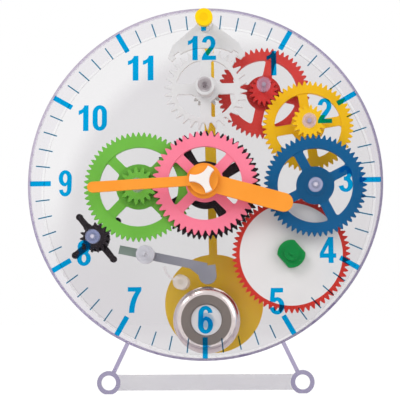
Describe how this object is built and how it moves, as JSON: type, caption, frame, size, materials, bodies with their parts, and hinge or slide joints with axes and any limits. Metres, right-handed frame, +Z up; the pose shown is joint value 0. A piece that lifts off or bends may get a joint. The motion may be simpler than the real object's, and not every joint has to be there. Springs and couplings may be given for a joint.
{
  "type": "pendulum clock model",
  "caption": "Clear-cased teaching clock with coloured gear train, pendulum, anchor escapement, quarter-striking hammer and bell, on a two-tube stand.",
  "frame": {"origin": "centre of the bounding box in plan, on the surface that the two foot tubes stand on", "axes": "+X to the right as the dial is read, +Y to the back, +Z up"},
  "size_m": [0.245, 0.0666, 0.267],
  "materials": {
    "clear": "clear moulded plastic",
    "clear_stand": "clear moulded plastic, lavender at the edges",
    "frosted": "translucent sheet",
    "red": "moulded plastic",
    "white": "moulded plastic",
    "steel": "drawn bar and sheet",
    "deep_green": "moulded plastic",
    "black": "moulded plastic",
    "orange": "moulded plastic",
    "blue": "moulded plastic",
    "yellow": "moulded plastic",
    "green": "moulded plastic",
    "pink": "moulded plastic",
    "grey": "moulded plastic",
    "chrome": "polished"
  },
  "bodies": {
    "case": {"dial_plate": "clear", "case_band": "clear", "back_plate": "clear", "foot_left": "clear_stand", "foot_right": "clear_stand", "cross_bar": "frosted", "click_spring": "steel", "hammer_stop": "clear_stand", "bell": "chrome", "bell_post": "white", "bell_screw": "steel"},
    "barrel": {"barrel_wheel": "red", "barrel_lid": "white", "mainspring": "steel"},
    "winding": {"winding_hub": "deep_green", "winding_arbor": "steel", "ratchet_wheel": "steel", "winding_key": "deep_green"},
    "click": {"click": "steel"},
    "centre": {"centre_wheel": "black", "centre_arbor": "steel", "cannon_pinion": "black", "minute_hand": "orange", "hand_cap": "white"},
    "second": {"second_wheel": "blue", "second_pinion": "blue", "second_arbor": "steel"},
    "third": {"third_wheel": "yellow", "third_pinion": "yellow", "third_arbor": "steel"},
    "fourth": {"fourth_wheel": "red", "fourth_pinion": "red", "fourth_arbor": "steel"},
    "escape": {"escape_wheel": "white", "escape_pinion": "white", "escape_arbor": "steel"},
    "minute_works": {"minute_wheel": "green", "minute_pinion": "green", "minute_arbor": "steel"},
    "hour": {"hour_wheel": "pink", "hour_hand": "orange"},
    "strike": {"strike_pinion": "black", "strike_star": "black", "strike_arbor": "steel"},
    "hammer": {"hammer_lever": "grey", "hammer_collar": "white", "hammer_arbor": "steel"},
    "pendulum": {"anchor": "white", "pendulum_arbor": "steel", "top_cap": "yellow", "pendulum_rod": "yellow", "pendulum_bob": "yellow"}
  },
  "joints": [
    {"name": "centre_spin", "type": "hinge", "parent": "case", "child": "centre", "pos_m": [0, -0.00475, 0.1445], "axis": [0, 1, 0], "continuous": true},
    {"name": "barrel_spin", "type": "hinge", "parent": "case", "child": "barrel", "pos_m": [0.05954, -0.00475, 0.09489], "axis": [0, 1, 0], "continuous": true},
    {"name": "second_spin", "type": "hinge", "parent": "case", "child": "second", "pos_m": [0.07656, -0.01375, 0.1419], "axis": [0, 1, 0], "continuous": true},
    {"name": "third_spin", "type": "hinge", "parent": "case", "child": "third", "pos_m": [0.07295, 0.00025, 0.18676], "axis": [0, 1, 0], "continuous": true},
    {"name": "fourth_spin", "type": "hinge", "parent": "case", "child": "fourth", "pos_m": [0.04165, 0.00525, 0.21265], "axis": [0, 1, 0], "continuous": true},
    {"name": "escape_spin", "type": "hinge", "parent": "case", "child": "escape", "pos_m": [0.00041, -0.00975, 0.21352], "axis": [0, 1, 0], "continuous": true},
    {"name": "minute_wheel_spin", "type": "hinge", "parent": "case", "child": "minute_works", "pos_m": [-0.04685, -0.00925, 0.14311], "axis": [0, 1, 0], "continuous": true},
    {"name": "hour_spin", "type": "hinge", "parent": "case", "child": "hour", "pos_m": [0, -0.01375, 0.1445], "axis": [0, 1, 0], "continuous": true},
    {"name": "strike_spin", "type": "hinge", "parent": "case", "child": "strike", "pos_m": [-0.07755, -0.00425, 0.10768], "axis": [0, 1, 0], "continuous": true},
    {"name": "winding_turn", "type": "hinge", "parent": "case", "child": "winding", "pos_m": [0.05954, 0.02475, 0.09489], "axis": [0, 1, 0], "continuous": true},
    {"name": "click_lift", "type": "hinge", "parent": "case", "child": "click", "pos_m": [0.04929, 0.01175, 0.11264], "axis": [0, 1, 0], "range_deg": [0, 10]},
    {"name": "hammer_swing", "type": "hinge", "parent": "case", "child": "hammer", "pos_m": [-0.0427, -0.00065, 0.0957], "axis": [0, 1, 0], "range_deg": [-14, 0]},
    {"name": "pendulum_swing", "type": "hinge", "parent": "case", "child": "pendulum", "pos_m": [0.00041, 0.02375, 0.25972], "axis": [0, 1, 0], "range_deg": [-2.96, 5.04]}
  ],
  "couplings": [
    {"joint": "barrel_spin", "follows": "centre_spin", "ratio": -0.9375},
    {"joint": "second_spin", "follows": "centre_spin", "ratio": 3.75},
    {"joint": "third_spin", "follows": "centre_spin", "ratio": -12.132},
    {"joint": "fourth_spin", "follows": "centre_spin", "ratio": 40.441},
    {"joint": "escape_spin", "follows": "centre_spin", "ratio": -137.5},
    {"joint": "minute_wheel_spin", "follows": "centre_spin", "ratio": -0.25},
    {"joint": "hour_spin", "follows": "centre_spin", "ratio": 0.083333},
    {"joint": "strike_spin", "follows": "centre_spin", "ratio": 1}
  ]
}
